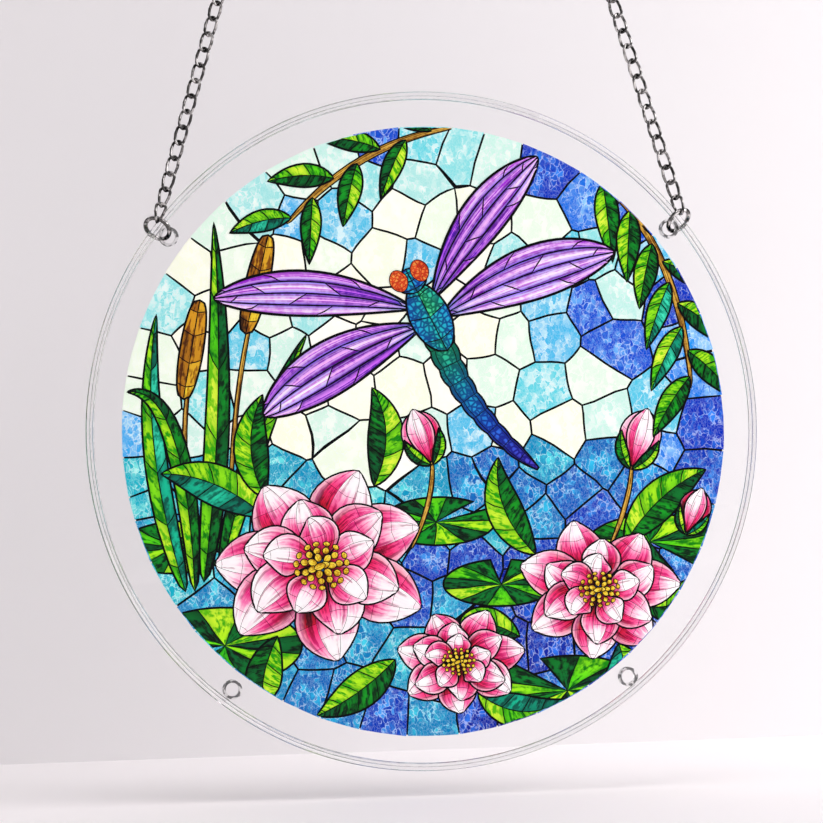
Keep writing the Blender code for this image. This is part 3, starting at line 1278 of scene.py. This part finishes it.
def lump(piece, place, length, width, palette, base, **shape):
    way = ray(HEADING) * length * MM / 2
    middle = spot(*place)
    picks = rolls(24)

    def paint(number, u, v):
        return shades(palette, base + 0.3 * picks[number] + 0.2 * abs(2 * v - 1))

    line = bent(middle - way, middle, middle + way)
    blade(piece, line, width * MM, paint, 4, 0.3, 1.0, 0.5, **shape)


def ahead(distance, aside=0.0):
    """A point so far ahead of the thorax along the heading, and to its right."""
    x = THORAX[0] + distance * cos(HEADING) + aside * sin(HEADING)
    return x, THORAX[1] + distance * sin(HEADING) - aside * cos(HEADING)


tail((ahead(-4), (8, 4), (25, -9)), 6.6)
for root, angle, length, width, lit in (
    (ahead(-2, -2), 208, 41, 12.5, -1), (ahead(-2, 2), 19, 42, 12.5, 1),
    (ahead(2, -2), 176, 45, 10.5, -1), (ahead(2, 2), 52, 40, 10.5, 1),
):
    wing(root, radians(angle), length, width, lit)
lump("body", ahead(-1), 17, 9.5, BODY, 0.0)
lump("body", ahead(8), 6, 7.5, BODY, 0.25)
for aside in (-2.6, 2.6):
    lump("eyes", ahead(9.2, aside), 5.2, 4.2, EMBER, 0.05, outline=0.16, seam=0.05)
print("sheets in all:", sum(map(len, sheets.values())), " levels:", max(stacked.values()))

# %% [markdown]
# ## From sheets to panes
# All the sheets of a piece are cut in one go. A copy keeps the full outlines for the lead. On the
# rest the outline strip goes first, then the grid is split wherever two panes meet and every pane is
# shrunk by half a lead line. The lead stops just short of the picture's round edge, where the real
# print has no line. Solidify gives both their thickness, which the level then sets.

# %% Cut the panes
LAYER = 0.004 * MM
BARE_EDGE = 0.45 * MM


def thicken(obj, under):
    apply_modifier(obj, "SOLIDIFY", thickness=2 * MM, offset=0)
    mesh = obj.data
    level = mesh.attributes["level"].data
    for face in mesh.polygons:
        half = (2 * level[face.index].value - under) * LAYER
        for index in face.vertices:
            mesh.vertices[index].co.z = copysign(half, mesh.vertices[index].co.z)


def cut_panes(art, outline, seam):
    with editing(art):
        shrink(outline * MM)
    if seam:
        with editing(art, "DESELECT", "EDGE"):
            mesh = bmesh.from_edit_mesh(art.data)
            pane = mesh.faces.layers.int["pane"]
            pick(art, lambda edge: len({face[pane] for face in edge.link_faces}) > 1, "edges")
            bpy.ops.mesh.edge_split(type="EDGE")
        with editing(art):
            shrink(seam * MM / 2)


bpy.ops.mesh.primitive_circle_add(vertices=TRIM_STEPS, radius=PICTURE_RADIUS, fill_type="NGON")
ground = bpy.context.object
mark(ground.data, "level", GROUND)
plates = [ground]
pieces = {"print_background": [paving]}
for (piece, outline, seam), found in sheets.items():
    art = join(found, piece)
    plates.append(copy_of(art))
    cut_panes(art, outline, seam)
    pieces.setdefault(f"print_{piece}", []).append(art)
pieces["print_lead"] = plates
for name, found in pieces.items():
    piece = join(found, name)
    if name == "print_lead":
        trim(piece, PICTURE_RADIUS - BARE_EDGE, 0)
    thicken(piece, 1 if name == "print_lead" else 0)
    print(f"{name}: {len(piece.data.polygons)} faces")

# %% [markdown]
# ## Inks
# Every coloured ink mixes the two colours stored on the mesh by a pattern of its own: a crackle with
# short pale strokes for the background, streaks along or across the veins for leaves, petals and
# wings, and small scales for the body. Each ink also glows faintly in its own colour, a painted glow
# that stands in for light shining through the print from behind.

# %% Ink finishes
CREASE_TURN = radians(35)
CRUMPLE = (0.0022, 0.0022, 0.0022)
CRIMSON = (0.22, 0.004, 0.05, 1)
WHITE = (1, 1, 1, 1)
INK_RELIEF = 0.03 * MM


def start_ink(name, painted_glow):
    # Painted glow: the ink emits light of its own at this strength.
    finish = Finish(name, emission_strength=painted_glow, specular_ior_level=0.15)
    tint = finish.add("ShaderNodeAttribute", {"attribute_name": "tint"})
    deep = finish.add("ShaderNodeAttribute", {"attribute_name": "deep"})
    return finish, tint, deep


def end_ink(finish, colour, height):
    finish.set("Base Color", colour)
    # The painted glow takes the ink's own colour.
    finish.set("Emission Color", colour)
    finish.set("Roughness", finish.between(height, 0.2, 0.8) * 0.14 + 0.24)
    finish.bump(height, INK_RELIEF, 0.4)
    return finish


def crackle_ink(name, painted_glow):
    """Crumpled foil: small facets of every tone, with broken pale creases that run one way."""
    finish, tint, deep = start_ink(name, painted_glow)
    place = finish.place()
    cloud = finish.noise(place, 380, detail=4, roughness=0.65)
    slanted = {"Vector": place, "Rotation": (0, CREASE_TURN, 0), "Scale": (1.2, 1, 0.8)}
    foil = finish.add("ShaderNodeMapping", inputs=slanted)
    swirl = {"Vector": place, "Scale": 620, "Detail": 3}
    wander = finish.add("ShaderNodeTexNoise", inputs=swirl, output=1)
    wander_by = {0: wander, 1: CRUMPLE, 2: foil}
    pull = finish.add("ShaderNodeVectorMath", {"operation": "MULTIPLY_ADD"}, wander_by)
    coarse = {"Vector": pull, "Scale": 780}
    facets = finish.add("ShaderNodeTexVoronoi", {"feature": "F1"}, coarse, output=1)
    facet = finish.add("ShaderNodeSeparateColor", inputs={"Color": facets})
    web = finish.add("ShaderNodeTexVoronoi", {"feature": "DISTANCE_TO_EDGE"}, coarse)
    small = {"Vector": pull, "Scale": 1500}
    fine = finish.add("ShaderNodeTexVoronoi", {"feature": "DISTANCE_TO_EDGE"}, small)
    shade = finish.between(facet * 0.36 + cloud, 0.57, 0.98)
    body = finish.mix(shade, deep, tint)
    creases = (1 - finish.between(web, 0.02, 0.085)) * finish.between(cloud, 0.44, 0.54)
    nicks = (1 - finish.between(fine, 0.03, 0.12)) * finish.between(cloud, 0.54, 0.44)
    pale = finish.mix(0.45, tint, WHITE)
    return end_ink(finish, finish.mix(creases * 0.7 + nicks * 0.2, body, pale), cloud)


def streak_ink(name, painted_glow, scale, veins=0.0):
    """Streaks through the sheet's own u and v, stretched by the scale given, and veins along it."""
    finish, tint, deep = start_ink(name, painted_glow)
    own = finish.add("ShaderNodeUVMap", {"uv_map": "UVMap"})
    place = finish.place()
    shift = finish.add("ShaderNodeVectorMath", {"operation": "SCALE"}, {0: place, "Scale": 60.0})
    stretch = {0: own, 1: scale, 2: shift}
    along = finish.add("ShaderNodeVectorMath", {"operation": "MULTIPLY_ADD"}, stretch)
    streak = finish.noise(along, 1.0, detail=3, roughness=0.6)
    fleck = finish.noise(place, 900, detail=3)
    share = finish.between(streak * 0.75 + fleck * 0.25, 0.42, 0.55)
    colour = finish.mix(share, deep, tint)
    if veins:
        settings = {"bands_direction": "Y"}
        values = {"Vector": own, "Scale": veins, "Distortion": 2.4, "Detail Scale": 1.2}
        wave = finish.add("ShaderNodeTexWave", settings, values, output=1)
        broken = finish.between(finish.noise(place, 260), 0.4, 0.6)
        line = finish.between(wave, 0.9, 0.98) * broken
        colour = finish.mix(line * 0.8, colour, deep)
        colour = finish.mix(line * 0.5, colour, CRIMSON)
    return end_ink(finish, colour, streak)


def scale_ink(name, painted_glow, size):
    finish, tint, deep = start_ink(name, painted_glow)
    place = finish.place()
    settings = {"feature": "DISTANCE_TO_EDGE"}
    scales = finish.add("ShaderNodeTexVoronoi", settings, {"Vector": place, "Scale": 1 / size})
    share = finish.between(scales, 0.04, 0.3)
    return end_ink(finish, finish.mix(share, deep, tint), share)


def lead_ink(name):
    finish = Finish(name, specular_ior_level=0.06)
    cloud = finish.noise(finish.place(), 500, detail=3)
    finish.set("Base Color", finish.mix(cloud, (0.001, 0.001, 0.002, 1), (0.006, 0.006, 0.008, 1)))
    finish.set("Roughness", finish.between(cloud, 0.3, 0.7) * 0.15 + 0.3)
    return finish


# The number after each ink's name is its painted glow.
INKS = {
    "print_background": crackle_ink("crackled background ink", 0.2),
    "print_leaves": streak_ink("leaf ink", 0.18, (34, 3, 0)),
    "print_stems": streak_ink("stem ink", 0.1, (5, 6, 0)),
    "print_petals": streak_ink("petal ink", 0.16, (3, 22, 0), 1.3),
    "print_stamens": streak_ink("stamen ink", 0.1, (3, 3, 0)),
    "print_wings": streak_ink("wing ink", 0.18, (3, 34, 0)),
    "print_body": scale_ink("scale ink", 0.14, 1.1 * MM),
    "print_eyes": scale_ink("eye ink", 0.1, 0.8 * MM),
    "print_lead": lead_ink("lead line ink"),
}

# %% [markdown]
# ## Putting the print on the disc
# The print straddles the front face of the disc, so half of each sheet's thickness shows in front
# and half shows through the acrylic.

# %% Place the print
ON_FRONT = Matrix.Translation(CENTRE + FRONT * THICKNESS / 2) @ QUARTER
for name, finish in INKS.items():
    piece = bpy.data.objects[name]
    settle(piece, ON_FRONT)
    piece.data.shade_flat()
    wear(piece, finish)
print("print pieces:", len(INKS))
